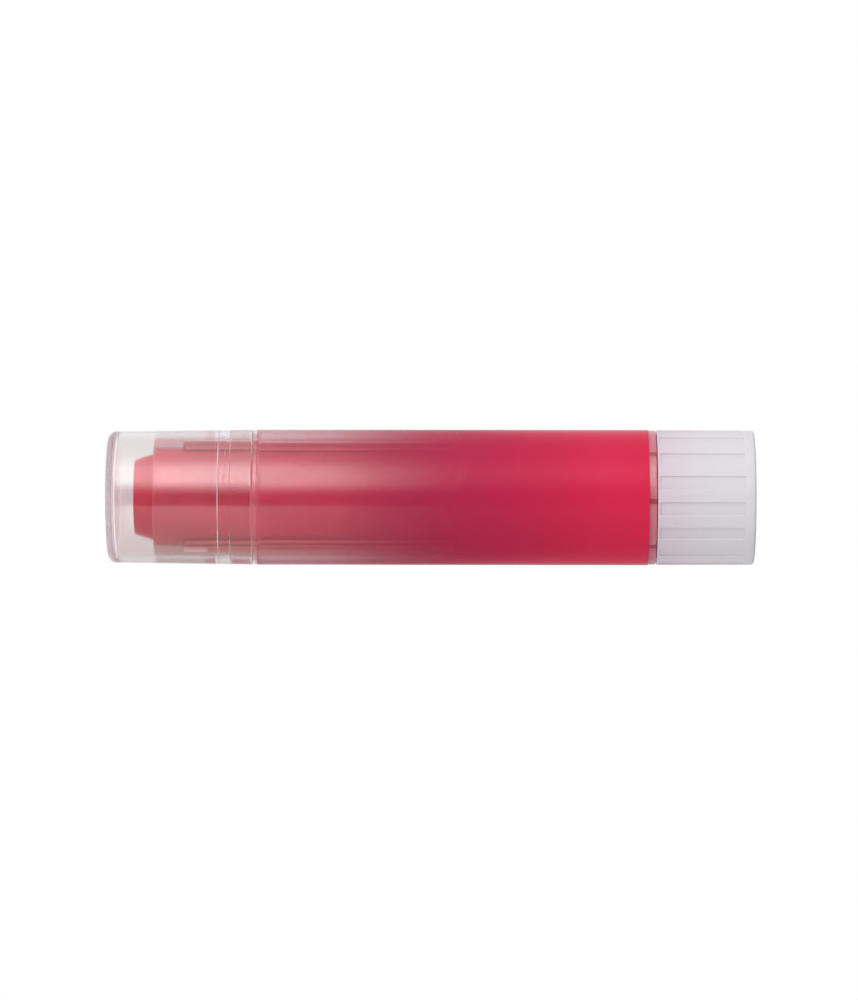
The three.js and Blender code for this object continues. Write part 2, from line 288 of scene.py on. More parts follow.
def keyway_block(name, inner, outer, width, low, high, degrees, corner=0.0):
    """A block along a keyway. Its upper corners are rounded, as the end of the keyway is."""
    piece = block(name, (inner, -width / 2, low), (outer, width / 2, high))
    if corner:
        mesh = edit(piece)
        for line in mesh.edges:
            a, b = (v.co / MM for v in line.verts)
            line.select_set(
                min(a.z, b.z) > high - SAME_PLACE and abs(a.x - b.x) > SAME_PLACE
            )
        bmesh.update_edit_mesh(piece.data)
        bpy.ops.mesh.bevel(offset=corner * MM, segments=5, affect="EDGES")
        fresh()
        piece.select_set(True)
        bpy.context.view_layer.objects.active = piece
    piece.rotation_euler.z = from_front(degrees)
    bpy.ops.object.transform_apply(location=True, rotation=True, scale=True)
    return piece


cutters = [
    keyway_block(
        "keyway", BORE - 1.1, KEYWAY_OUT, KEYWAY_WIDTH,
        TAIL_LOW - 1, KEYWAY_TOP, degrees, KEYWAY_CORNER,
    )
    for degrees in KEYWAY_ANGLES
]
cutters += [
    keyway_block(
        "slot", GUIDE_OUT, RING_OUT + 1, SLOT_WIDTH,
        COLLAR_LOW - 1, COLLAR_HIGH + 1, COLLAR_TURN + 360 / SLOT_COUNT * slot,
    )
    for slot in range(SLOT_COUNT)
]
cut(guide, cutters)
smooth(guide)
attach(guide, "barrel")
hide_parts("guide_tube")
print("guide tube:", len(guide.data.vertices), "points")

# %% [markdown]
# ## Label
# The label is a printed film, wrapped once round the sleeve. Its seam is at the back. It is a very
# thin tube here, with a gap cut where its two edges nearly meet.

# %% Wrap the label
LABEL_IN, LABEL_OUT = 9.47, 9.525
LABEL_LOW, LABEL_HIGH = 14.87, 69.80
SEAM_WIDTH = 0.5

label = tube("label_film_wrap", LABEL_IN, LABEL_OUT, LABEL_LOW, LABEL_HIGH)
seam_low = (-SEAM_WIDTH / 2, LABEL_IN - 1, LABEL_LOW - 1)
seam_high = (SEAM_WIDTH / 2, LABEL_OUT + 1, LABEL_HIGH + 1)
cut(label, [block("seam", seam_low, seam_high)])
smooth(label)
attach(label, "barrel")
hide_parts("label")
print("label:", len(label.data.vertices), "points")

# %% [markdown]
# ## Pigment
# The pigment is cast wax: a smooth cylinder with a truncated cone in front and a deep blind hole
# for the spindle behind. It was poured into the carrier and a mould, and its front edge is rounded
# by a tenth of a millimetre, as wax leaves a mould.

# %% Cast the pigment
PIGMENT = 6.90
TIP, TIP_TOP, TIP_SHOULDER = 5.22, 87.05, 84.12
FOOT, FOOT_LOW, FOOT_HIGH = 6.13, 10.95, 17.95
HOLE, HOLE_TOP = 3.10, 77.82

pigment = turned(
    "pigment_cast",
    [
        (TIP, TIP_TOP),
        (5.54, 86.10),
        (5.87, 85.10),
        (6.19, TIP_SHOULDER),
        (PIGMENT, TIP_SHOULDER),
        (PIGMENT, FOOT_HIGH),
        (FOOT, FOOT_HIGH),
        (FOOT, FOOT_LOW),
        (HOLE, FOOT_LOW),
        (HOLE, HOLE_TOP),
    ],
    lids=True,
)
round_rings(pigment, [(TIP, TIP_TOP, 0.10), (PIGMENT, TIP_SHOULDER, 0.06)])
smooth(pigment)
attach(pigment, "stick")
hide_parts("pigment_stick")
print("pigment:", len(pigment.data.vertices), "points")

# %% [markdown]
# ## Pigment left on the barrel
# Where the pigment rubs along the bore it leaves a thin film, and it fills the corners of the
# keyways. This residue wets the plastic, so no air is left between them and it shows strongly
# through the wall, as dark red lines at the keyways. In the model it bites 0.02 mm into the wall
# for that reason. It stays with the barrel when the pigment rises, and leaves room for the lugs.

# %% Coat the keyways and the bore
COAT = 0.05
BITE = 0.02
COAT_LOW = 17.0

coats = []
for number, degrees in enumerate(KEYWAY_ANGLES):
    coat = keyway_block(
        "keyway_coat_%d" % number, BORE, KEYWAY_OUT + BITE, KEYWAY_WIDTH + 2 * BITE,
        COAT_LOW, KEYWAY_TOP + BITE, degrees, KEYWAY_CORNER,
    )
    hollow = keyway_block(
        "hollow", BORE - 1, KEYWAY_OUT - COAT, KEYWAY_WIDTH - 2 * COAT,
        COAT_LOW - 1, KEYWAY_TOP - COAT, degrees, KEYWAY_CORNER - COAT,
    )
    cut(coat, [hollow])
    coats.append(coat)

film = tube("bore_film", BORE - BITE, BORE + BITE, COAT_LOW, TIP_SHOULDER - 0.1)
cut(film, [
    keyway_block(
        "gap", BORE - 1, BORE + 1, KEYWAY_WIDTH, COAT_LOW - 1, KEYWAY_TOP, degrees, KEYWAY_CORNER
    )
    for degrees in KEYWAY_ANGLES
])
print("film and coats:", film.name, "and", len(coats), "keyway coats")

# %% Dust the collar, the gap above the knob and the flange
DUST = 0.05

collar_dust = tube("collar_dust", RING_OUT, RING_OUT + DUST, 13.86, 15.60)
gap_dust = tube("gap_dust", GUIDE_OUT + 0.005, GUIDE_OUT + DUST, 12.95, 13.93)
flange_dust = tube("flange_dust", RING_OUT, RING_OUT + DUST, 69.50, 70.10)
for residue in coats + [film, collar_dust, gap_dust, flange_dust]:
    smooth(residue)
    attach(residue, "barrel")
print("dust:", ", ".join(piece.name for piece in (collar_dust, gap_dust, flange_dust)))

# %% [markdown]
# ## Cap
# The cap is a deep cup of clear styrene with a slight mauve cast. It is turned from its inner end,
# down the inside, round the rim and up the outside, with flat lids at both ends. The small groove
# inside is what snaps over the neck's bead.

# %% Turn the cap
CAP_LOW, CAP_HIGH = 70.40, 90.83
CAP_MOUTH, CAP_END = 9.50, 9.24
CAP_IN_MOUTH, CAP_IN_END, CAP_IN_TOP = 8.50, 8.30, 89.74
CHAMFER = 0.15
GROOVE_LOW, GROOVE_HIGH, GROOVE_OUT, GROOVE_SLOPE = 73.43, 75.22, 8.55, 0.10

cap = turned(
    "cap_clear",
    [
        (CAP_IN_END, CAP_IN_TOP),
        (8.450, GROOVE_HIGH),
        (GROOVE_OUT, GROOVE_HIGH - GROOVE_SLOPE),
        (GROOVE_OUT, GROOVE_LOW + GROOVE_SLOPE),
        (8.468, GROOVE_LOW),
        (CAP_IN_MOUTH, CAP_LOW + CHAMFER),
        (CAP_IN_MOUTH + CHAMFER, CAP_LOW),
        (CAP_MOUTH, CAP_LOW),
        (CAP_END, CAP_HIGH),
    ],
    lids=True,
)
round_rings(cap, [(CAP_IN_END, CAP_IN_TOP, 0.60), (CAP_MOUTH, CAP_LOW, 0.12)], segments=8)
round_rings(cap, [(CAP_END, CAP_HIGH, 1.15)], segments=18)
smooth(cap)
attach(cap, "cap")
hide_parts("cap")
print("cap:", len(cap.data.vertices), "points")

# %% [markdown]
# A cap that has been pushed on and off takes pigment off the neck. The two smears follow the
# taper of its inside wall, one on each side of the groove, and bite 0.02 mm into it.

# %% Smear inside the cap
smears = [
    turned("cap_smear_front", [(8.435, 75.70), (8.468, 75.70), (8.379, 84.00), (8.346, 84.00)]),
    turned("cap_smear_mouth", [(8.480, 70.75), (8.514, 70.75), (8.486, 73.35), (8.452, 73.35)]),
]
for smear in smears:
    smooth(smear)
    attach(smear, "cap")
print("smears:", len(smears))

# %% [markdown]
# ## Twist knob
# The knob is moulded in natural, slightly cloudy plastic. Sixteen shallow flutes give it grip. They
# are made by picking the faces of the outer wall that lie in a flute and extruding them a fifth of
# a millimetre towards the axis. Their edges are then softened, because moulded edges are never
# razor sharp.

# %% Turn the knob
KNOB_TOP = 13.70
KNOB_BASE, KNOB_RIM = 9.45, 9.49
KNOB_FLOOR, KNOB_IN, KNOB_MOUTH = 1.20, 8.45, 8.70
# The snap groove grips the bead on the guide tube's tail, and the post holds the spindle's foot.
SNAP, SNAP_LOW, SNAP_HIGH, SNAP_END = 8.58, 6.05, 7.45, 7.85
POST, POST_TOP, SOCKET = 3.604, 4.40, 1.75
FLUTE_LOW, FLUTE_HIGH = 1.50, 13.40
FLUTE_COUNT = 16
FLUTE_DEPTH = 0.22
LAND_MIDDLE = 1.5


def knob_wall(height):
    """Outside radius of the knob at a height."""
    return KNOB_BASE + (KNOB_RIM - KNOB_BASE) * height / KNOB_TOP


# The knob starts a little turned, so that the flutes' edges fall on the edges of its mesh.
step_angle = 360 / TURN_STEPS
flute_pitch = 360 / FLUTE_COUNT
flute_edge = LAND_MIDDLE + flute_pitch / 4
knob = turned(
    "twist_knob",
    [
        (POST, POST_TOP),
        (POST, KNOB_FLOOR),
        (KNOB_IN, KNOB_FLOOR),
        (KNOB_IN, SNAP_LOW),
        (SNAP, SNAP_LOW),
        (SNAP, SNAP_HIGH),
        (KNOB_IN, SNAP_END),
        (KNOB_IN, 12.05),
        (KNOB_MOUTH, 12.30),
        (KNOB_MOUTH, KNOB_TOP),
        (KNOB_RIM, KNOB_TOP),
        (knob_wall(FLUTE_HIGH), FLUTE_HIGH),
        (knob_wall(FLUTE_LOW), FLUTE_LOW),
        (KNOB_BASE, 0),
    ],
    turn=math.radians(flute_edge % step_angle),
    lids=True,
)
round_rings(
    knob, [(KNOB_BASE, 0, 0.40), (KNOB_RIM, KNOB_TOP, 0.12), (KNOB_MOUTH, KNOB_TOP, 0.08)]
)
print("knob blank:", len(knob.data.vertices), "points")

# %% Press in the flutes
mesh = edit(knob, "FACE")
for face in mesh.faces:
    middle = face.calc_center_median()
    on_wall = radius_of(middle) > KNOB_BASE - 0.15
    level = FLUTE_LOW < middle.z / MM < FLUTE_HIGH
    angle = math.degrees(math.atan2(middle.y, middle.x)) + 90 - LAND_MIDDLE
    across = (angle + flute_pitch / 2) % flute_pitch - flute_pitch / 2
    face.select_set(on_wall and level and abs(across) > flute_pitch / 4)
bmesh.update_edit_mesh(knob.data)
bpy.ops.mesh.extrude_region_move(TRANSFORM_OT_translate={"value": (0, 0, 0)})
flute_scale = 1 - FLUTE_DEPTH / KNOB_RIM
bpy.ops.transform.resize(
    value=(flute_scale, flute_scale, 1), center_override=(0, 0, (FLUTE_LOW + FLUTE_HIGH) / 2 * MM)
)
print("flutes:", FLUTE_COUNT, "of", round(flute_pitch / 2, 1), "degrees")

# %% Soften the flutes' edges and cut the socket
FLUTE_EDGE = math.radians(50)
FLUTE_ROUND = 0.06

mesh = edit(knob)
for line in mesh.edges:
    on_flute = all(
        radius_of(v.co) > KNOB_BASE - 0.45 and FLUTE_LOW - 0.1 < v.co.z / MM < FLUTE_HIGH + 0.1
        for v in line.verts
    )
    line.select_set(
        on_flute and len(line.link_faces) == 2 and line.calc_face_angle() > FLUTE_EDGE
    )
bmesh.update_edit_mesh(knob.data)
bpy.ops.mesh.bevel(offset=FLUTE_ROUND * MM, segments=3, affect="EDGES")
fresh()
cut(knob, [block("socket", (-SOCKET, -SOCKET, KNOB_FLOOR), (SOCKET, SOCKET, POST_TOP + 0.6))])
smooth(knob)
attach(knob, "twist")
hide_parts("knob")
print("knob:", len(knob.data.vertices), "points")

# %% [markdown]
# ## Spindle
# The long propel thread has two starts and a 5 mm lead, left-hand. Its cross-section is a circle
# pulled out to two rounded lobes. The Screw modifier turns that section while it climbs, which
# gives an even helix with no pitch errors.

# %% Twist the spindle's thread
THREAD_LOW, THREAD_HIGH = 7.40, 77.02
THREAD_MIDDLE, THREAD_SWING = 2.45, 0.35
THREAD_LEAD = 5.0


def thread_section(name, low, extra):
    """The lobed section of the thread at a height, as a flat ring of edges."""
    fresh()
    bpy.ops.mesh.primitive_circle_add(vertices=48, radius=MM, location=(0, 0, low * MM))
    piece = bpy.context.object
    piece.name = name
    bpy.ops.object.transform_apply(location=True, rotation=True, scale=True)
    turn = -2 * math.pi * low / THREAD_LEAD
    for v in piece.data.vertices:
        angle = math.atan2(v.co.y, v.co.x)
        radius = (THREAD_MIDDLE + extra + THREAD_SWING * math.cos(2 * angle)) * MM
        v.co.x = radius * math.cos(angle + turn)
        v.co.y = radius * math.sin(angle + turn)
    return piece


def twisted_rod(name, low, high, extra=0.0, steps_per_turn=24):
    """A length of the thread between two heights, with flat ends."""
    piece = thread_section(name, low, extra)
    turns = (high - low) / THREAD_LEAD
    piece.select_set(True)
    bpy.context.view_layer.objects.active = piece
    modifier = piece.modifiers.new("thread", "SCREW")
    modifier.axis = "Z"
    modifier.angle = -2 * math.pi * turns
    modifier.screw_offset = (high - low) * MM
    modifier.iterations = 1
    modifier.steps = modifier.render_steps = max(2, round(turns * steps_per_turn))
    modifier.use_smooth_shade = True
    bpy.ops.object.modifier_apply(modifier=modifier.name)
    for end in (low, high):
        mesh = edit(piece)
        for line in mesh.edges:
            line.select_set(line.is_boundary and abs(line.verts[0].co.z / MM - end) < 0.01)
        bmesh.update_edit_mesh(piece.data)
        bpy.ops.mesh.edge_face_add()
    bpy.ops.mesh.select_all(action="SELECT")
    bpy.ops.mesh.normals_make_consistent(inside=False)
    fresh()
    return piece


spindle = twisted_rod("lead_screw", THREAD_LOW, THREAD_HIGH)
print("thread:", round((THREAD_HIGH - THREAD_LOW) / THREAD_LEAD, 1), "turns")

# %% Add its shank, flange and square foot
PLATE, PLATE_LOW, PLATE_HIGH = 4.60, 4.50, 5.50
SHANK, SHANK_TOP = 2.00, 7.80
PEG, PEG_LOW, PEG_HIGH = 1.70, 1.30, 4.70

stem = turned(
    "stem",
    [(PLATE, PLATE_LOW), (PLATE, PLATE_HIGH), (SHANK, PLATE_HIGH), (SHANK, SHANK_TOP)],
    steps=96,
    lids=True,
)
round_rings(
    stem,
    [(PLATE, PLATE_LOW, 0.15), (PLATE, PLATE_HIGH, 0.15), (SHANK, PLATE_HIGH, 0.30)],
    segments=3,
)
foot = block("foot", (-PEG, -PEG, PEG_LOW), (PEG, PEG, PEG_HIGH))
cut(spindle, [stem, foot], "UNION")
smooth(spindle)
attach(spindle, "twist")
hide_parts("spindle")
print("spindle:", len(spindle.data.vertices), "points")

# %% [markdown]
# ## Carrier
# The carrier is a small white cup. Its floor is the nut, and three lugs on its side run in the
# keyways. The nut is cut with the same twisted rod as the spindle, made a quarter of a millimetre
# larger, so the two threads match at every height.

# %% Turn the carrier and cut its nut
CARRIER_LOW, CARRIER_FLOOR, CARRIER_HIGH = 7.90, 10.90, 17.90
CARRIER_OUT, CUP_IN = 6.93, 6.18
LUG_LOW, LUG_HIGH = 12.28, 14.70
LUG_CLEARANCE = 0.15
NUT_CLEARANCE = 0.25

carrier = turned(
    "pigment_carrier",
    [
        (CUP_IN, CARRIER_FLOOR),
        (CUP_IN, CARRIER_HIGH),
        (CARRIER_OUT, CARRIER_HIGH),
        (CARRIER_OUT, CARRIER_LOW),
    ],
    steps=144,
    lids=True,
)
round_rings(
    carrier, [(CARRIER_OUT, CARRIER_LOW, 0.25), (CARRIER_OUT, CARRIER_HIGH, 0.10)], segments=3
)
lugs = [
    keyway_block(
        "lug", CUP_IN + 0.3, KEYWAY_OUT - LUG_CLEARANCE, KEYWAY_WIDTH - 2 * LUG_CLEARANCE,
        LUG_LOW, LUG_HIGH, degrees, 0.25,
    )
    for degrees in KEYWAY_ANGLES
]
cut(carrier, lugs, "UNION")
nut = twisted_rod("nut", CARRIER_LOW - 0.5, CARRIER_FLOOR + 0.5, extra=NUT_CLEARANCE)
cut(carrier, [nut])
smooth(carrier)
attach(carrier, "stick")
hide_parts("carrier")
print("carrier:", len(carrier.data.vertices), "points")

# %% [markdown]
# ## Shader helpers
# Each material is a Principled shader whose colour, roughness and bump come from small noise and
# gradient networks on Object coordinates. These helpers only save typing: they add a node, set its
# values and wire it up.


# %% Helpers for nodes and materials
def node(tree, kind, inputs=None, **settings):
    """Adds a node. Inputs may be values or the sockets of other nodes."""
    made = tree.nodes.new(kind)
    for key, value in settings.items():
        setattr(made, key, value)
    for key, value in (inputs or {}).items():
        if isinstance(value, bpy.types.NodeSocket):
            tree.links.new(value, made.inputs[key])
        else:
            made.inputs[key].default_value = value
    return made


def material(name, **sockets):
    """A material with one Principled shader. Gives the material, its tree and the shader."""
    made = bpy.data.materials.new(name)
    made.use_nodes = True
    tree = made.node_tree
    shader = tree.nodes["Principled BSDF"]
    for key, value in sockets.items():
        shader.inputs[key.replace("_", " ")].default_value = value
    return made, tree, shader


def feed(tree, shader, **sockets):
    """Wires patterns into a shader's inputs."""
    for key, value in sockets.items():
        tree.links.new(value, shader.inputs[key.replace("_", " ")])


def dress(piece, made):
    """Gives a piece one material."""
    piece.data.materials.clear()
    piece.data.materials.append(made)


# %% Helpers for places and patterns
def math_node(tree, operation, first, second=None, clamp=False):
    """A Math node's result from one or two values or sockets."""
    values = {0: first} if second is None else {0: first, 1: second}
    return node(tree, "ShaderNodeMath", values, operation=operation, use_clamp=clamp).outputs[0]


def object_place(tree):
    """Object coordinates, whole and split into X, Y and Z."""
    place = node(tree, "ShaderNodeTexCoord").outputs["Object"]
    return place, node(tree, "ShaderNodeSeparateXYZ", {"Vector": place}).outputs


def drawn_out(tree, place, scale):
    """Draws a pattern out along the stick. A smaller scale gives longer marks."""
    return node(tree, "ShaderNodeMapping", {"Vector": place, "Scale": (1, 1, scale)}).outputs[0]


def noise(tree, place, scale, detail):
    """A noise pattern. A bigger scale makes it finer."""
    return node(
        tree, "ShaderNodeTexNoise", {"Vector": place, "Scale": scale, "Detail": detail}
    ).outputs["Fac"]


def between(tree, coordinate, start, end, most=1.0):
    """0 up to one place on an axis, and from there to another, in millimetres, a rise to `most`."""
    return node(
        tree,
        "ShaderNodeMapRange",
        {"Value": coordinate, "From Min": start * MM, "From Max": end * MM, "To Max": most},
    ).outputs["Result"]


# %% Helpers for colours
def blend(tree, factor, first, second):
    """Goes from one colour to another as the factor goes from 0 to 1."""
    return node(
        tree, "ShaderNodeMixRGB", {"Fac": factor, "Color1": first, "Color2": second}
    ).outputs["Color"]


def ramp(tree, factor, stops):
    """A Color Ramp from a list of (place, colour)."""
    made = node(tree, "ShaderNodeValToRGB", {"Fac": factor})
    points = made.color_ramp.elements
    while len(points) < len(stops):
        points.new(0.5)
    for point, (place, colour) in zip(points, stops):
        point.position = place
        point.color = (*colour, 1)
    return made.outputs["Color"]


def grey(value):
    """A grey colour."""
    return (value, value, value)


# %% Helpers for directions round the stick
def around(tree, axes):
    """Turns X and Y into the place on a ramp that goes once round the stick."""
    angle = math_node(tree, "ARCTAN2", axes["X"], math_node(tree, "MULTIPLY", axes["Y"], -1.0))
    return math_node(tree, "ADD", math_node(tree, "DIVIDE", angle, 2 * math.pi), 0.5)


def at(degrees):
    """Place on such a ramp of a direction, in degrees from the front towards +X."""
    return degrees / 360 + 0.5


# %% [markdown]
# ## Plastic wear
# Injection-moulded plastic is never optically perfect. The flow of the melt leaves very shallow
# waves along the piece, and handling adds a faint haze. One node group makes both, as a roughness
# and a height, and each plastic uses it with its own strengths.

# %% The plastic wear group
WEAR_INPUTS = {"Flow Scale": 60.0, "Haze Scale": 900.0, "Base Roughness": 0.03, "Haze": 0.03}

wear = bpy.data.node_groups.new("plastic_wear", "ShaderNodeTree")
for title, value in WEAR_INPUTS.items():
    socket = wear.interface.new_socket(name=title, in_out="INPUT", socket_type="NodeSocketFloat")
    socket.default_value = value
for title in ("Roughness", "Height"):
    wear.interface.new_socket(name=title, in_out="OUTPUT", socket_type="NodeSocketFloat")
given = wear.nodes.new("NodeGroupInput").outputs
result = wear.nodes.new("NodeGroupOutput").inputs
place = wear.nodes.new("ShaderNodeTexCoord").outputs["Object"]
flow = noise(wear, drawn_out(wear, place, 0.12), given["Flow Scale"], 2.0)
haze = math_node(wear, "MULTIPLY", noise(wear, place, given["Haze Scale"], 3.0), given["Haze"])
wear.links.new(math_node(wear, "ADD", haze, given["Base Roughness"]), result["Roughness"])
wear.links.new(flow, result["Height"])
print("plastic wear:", len(wear.nodes), "nodes")


# %% Placing the wear group
def add_wear(tree, shader, flow_scale, haze_scale, roughness, haze_amount, bump):
    """Places the wear group with a material's own values. At no bump the waves are left out."""
    group = node(tree, "ShaderNodeGroup", node_tree=wear)
    for title, value in zip(WEAR_INPUTS, (flow_scale, haze_scale, roughness, haze_amount)):
        group.inputs[title].default_value = value
    feed(tree, shader, Roughness=group.outputs["Roughness"])
    if bump:
        bumped = node(
            tree,
            "ShaderNodeBump",
            {"Height": group.outputs["Height"], "Strength": bump, "Distance": 0.0002},
        )
        feed(tree, shader, Normal=bumped.outputs["Normal"])


# %% [markdown]
# ## Clear plastics
# The barrel and the cap are real refracting solids: light bends at every wall, which gives the
# bright and dark lines along the tube's edges with no painted tricks. The cap is styrene, a little
# denser and pinker than the barrel.

# %% Material of the barrel
def let_light_in(tree, shader, tint):
    """Lamps and scattered light pass the plastic straight, so that they reach what is inside."""
    rays = node(tree, "ShaderNodeLightPath")
    passed = node(tree, "ShaderNodeBsdfTransparent", {"Color": (*tint, 1)})
    surface = shader.outputs[0]
    for kind in ("Is Diffuse Ray", "Is Shadow Ray"):
        surface = node(
            tree,
            "ShaderNodeMixShader",
            {"Fac": rays.outputs[kind], 1: surface, 2: passed.outputs[0]},
        ).outputs[0]
    tree.links.new(surface, tree.nodes["Material Output"].inputs["Surface"])


barrel_plastic, tree, shader = material(
    "barrel_styrene_clear",
    Base_Color=(0.985, 0.975, 0.975, 1),
    Transmission_Weight=1.0,
    IOR=1.49,
)
add_wear(tree, shader, 90.0, 1400.0, 0.05, 0.08, 0)
let_light_in(tree, shader, (1.0, 1.0, 1.0))
dress(sleeve, barrel_plastic)
dress(guide, barrel_plastic)
print("barrel plastic:", len(tree.nodes), "nodes")

# %% [markdown]
# The cap's mauve is painted a shade stronger across its middle, as painted shade for the dark band
# there, and weaker on its upper side, as a painted highlight. Its thick end traps light in the clear
# rim, so a little haze and more mauve there keep the end band soft.

# %% Material of the cap
cap_plastic, tree, shader = material("cap_styrene_clear", Transmission_Weight=1.0, IOR=1.52)
_, axes = object_place(tree)
# Painted light: the mauve is stronger across the middle as painted shade and weaker on the upper side
# as a painted highlight.
mauve = ramp(
    tree,
    between(tree, axes["X"], -10, 10),
    [
        (0.15, (0.83, 0.76, 0.755)),
        (0.42, (0.85, 0.775, 0.77)),
        (0.45, (0.815, 0.72, 0.74)),
        (0.55, (0.815, 0.72, 0.74)),
        (0.61, (0.895, 0.865, 0.865)),
        (0.90, (0.895, 0.86, 0.865)),
    ],
)
near_end = between(tree, axes["Z"], 89.3, 89.9)
end_haze = math_node(tree, "MULTIPLY", near_end, 0.10)
add_wear(tree, shader, 70.0, 1200.0, 0.06, 0.08, 0)
worn = shader.inputs["Roughness"].links[0].from_socket
feed(
    tree,
    shader,
    Base_Color=blend(tree, near_end, mauve, (0.98, 0.84, 0.89, 1)),
    Roughness=math_node(tree, "ADD", worn, end_haze),
)
let_light_in(tree, shader, (1.0, 0.99, 0.99))
tint = node(tree, "ShaderNodeVolumeAbsorption", {"Color": (0.50, 0.15, 0.30, 1), "Density": 6.0})
tree.links.new(tint.outputs[0], tree.nodes["Material Output"].inputs["Volume"])
dress(cap, cap_plastic)
print("cap plastic:", len(tree.nodes), "nodes")

# %% [markdown]
# ## Pigment finish
# Cast pigment is waxy: soft sheen, strong red, and slightly uneven where it cooled against the bore.
# Broad noise makes the darker patches. The body inside the barrel is painted a shade lighter than the
# bare tip, as painted light for what the clear walls gather round it.

# %% Material of the pigment
pigment_wax, tree, shader = material(
    "pigment_wax", Roughness=0.28, IOR=1.45, Specular_IOR_Level=0.2
)
place, axes = object_place(tree)
patches = noise(tree, drawn_out(tree, place, 0.35), 130.0, 2.0)
tip = ramp(tree, patches, [(0.40, (0.67, 0.036, 0.074)), (0.60, (0.61, 0.030, 0.066))])
# Painted light: the body inside the barrel is a shade lighter than the bare tip.
body = ramp(tree, patches, [(0.40, (0.78, 0.038, 0.098)), (0.60, (0.70, 0.030, 0.084))])
bare = math_node(tree, "GREATER_THAN", axes["Z"], (TIP_SHOULDER - 0.05) * MM)
grain = noise(tree, place, 700.0, 4.0)
bump = node(tree, "ShaderNodeBump", {"Height": grain, "Strength": 0.15, "Distance": 0.0002})
feed(tree, shader, Base_Color=blend(tree, bare, body, tip), Normal=bump.outputs["Normal"])
dress(pigment, pigment_wax)
print("pigment:", len(tree.nodes), "nodes")

# %% [markdown]
# ## Finish of the keyway coats
# A dark line runs along each side keyway with a paler strip beside it. The dark line is partly the
# wax's own dark red and partly painted shade on the keyway's near wall, and the paler strip is a
# painted highlight, so the colour follows the angle round the stick. Further down the neck, the floor
# of the lower keyway is redder.

# %% Material of the keyway coats
coat_wax, tree, shader = material("pigment_coat", Roughness=0.45)
place, axes = object_place(tree)
turnwise = around(tree, axes)
# Painted shade and highlight: dark on the keyway's near wall, near white beside it, by the angle
# round the stick.
coat_shade_and_highlight = ramp(
    tree,
    turnwise,
    [
        (at(-61.5), (1.00, 0.78, 0.76)),
        (at(-59.9), (1.00, 0.60, 0.58)),
        (at(-56.5), (0.86, 0.34, 0.32)),
        (at(-54.4), (0.74, 0.22, 0.21)),
        (at(-53.6), (0.36, 0.05, 0.06)),
        (at(-51.4), (0.36, 0.05, 0.06)),
        (at(-51.1), (0.66, 0.15, 0.15)),
        (at(57.1), (1.00, 0.24, 0.27)),
        (at(57.5), (0.44, 0.035, 0.055)),
        (at(65.2), (0.44, 0.035, 0.055)),
        (at(65.8), (0.95, 0.52, 0.55)),
    ],
)
grain = math_node(tree, "MULTIPLY", noise(tree, place, 500.0, 2.0), 0.25)
grainy = blend(tree, grain, coat_shade_and_highlight, (0.60, 0.10, 0.13, 1))
low_floor = math_node(tree, "LESS_THAN", turnwise, at(-53.9))
covered = math_node(tree, "MULTIPLY", between(tree, axes["Z"], 77.0, 76.4), low_floor)
feed(tree, shader, Base_Color=blend(tree, covered, grainy, (0.72, 0.16, 0.16, 1)))
for coat in coats:
    dress(coat, coat_wax)
print("coats:", len(tree.nodes), "nodes")

# %% [markdown]
# ## Finish of the bore film
# The film in the bore is thin enough to see through, so its Alpha is low and blotchy. In the neck its
# lower side is painted brownish, as painted warm light from below. It is thicker near the stick's two
# edges, where we look along the wall, and painted paler there as a sheen.

# %% Material of the bore film
film_wax, tree, shader = material("pigment_film", Roughness=0.45)
place, axes = object_place(tree)
blots = noise(tree, drawn_out(tree, place, 0.30), 150.0, 3.0)
red = ramp(tree, blots, [(0.40, (0.85, 0.16, 0.20)), (0.60, (0.70, 0.09, 0.13))])
brown = ramp(tree, blots, [(0.40, (0.75, 0.30, 0.16)), (0.60, (0.60, 0.22, 0.10))])
below = between(tree, axes["X"], -1.0, -4.5)
# Painted warm light: in the neck the film is brownish on its lower side.
painted_warm_underside = math_node(tree, "MULTIPLY", below, between(tree, axes["Z"], 70.0, 75.0))
turnwise = around(tree, axes)
# Painted sheen: the film is paler near the stick's two edges.
painted_edge_sheen = ramp(tree, turnwise, [(at(-10), (0.98, 0.56, 0.54)), (at(10), (0.95, 0.36, 0.42))])
edge = ramp(
    tree,
    turnwise,
    [
        (at(-110), grey(0.0)),
        (at(-95), grey(0.40)),
        (at(-63), grey(0.40)),
        (at(-58), grey(0.0)),
        (at(60), grey(0.0)),
        (at(65), grey(0.35)),
        (at(90), grey(0.35)),
        (at(115), grey(0.0)),
    ],
)
at_edge = math_node(tree, "GREATER_THAN", edge, 0.01)
thick = ramp(tree, blots, [(0.35, grey(0.02)), (0.50, grey(0.05)), (0.62, grey(0.16))])
feed(
    tree,
    shader,
    Base_Color=blend(tree, at_edge, blend(tree, painted_warm_underside, red, brown), painted_edge_sheen),
    Alpha=math_node(tree, "ADD", thick, edge),
)
dress(film, film_wax)
print("film:", len(tree.nodes), "nodes")

# %% [markdown]
# ## Finish of the dust
# Pigment dust lies on the collar and in the gap above the knob. Over the collar's slots it is painted
# dark red, partly for the pigment seen through them and partly as painted shade in the hollows. The
# distance to the nearest slot comes from the angle: counted in slots, and folded back and forth by
# Ping-Pong, it is 0 at the middle of each slot. At the flange the dust is faint.

# %% Materials of the dust
dust_wax, tree, shader = material("pigment_dust", Roughness=0.6, Specular_IOR_Level=0.2)
place, axes = object_place(tree)
specks = noise(tree, place, 900.0, 3.0)
open_dust = ramp(tree, specks, [(0.35, (0.95, 0.30, 0.38)), (0.65, (0.88, 0.21, 0.29))])
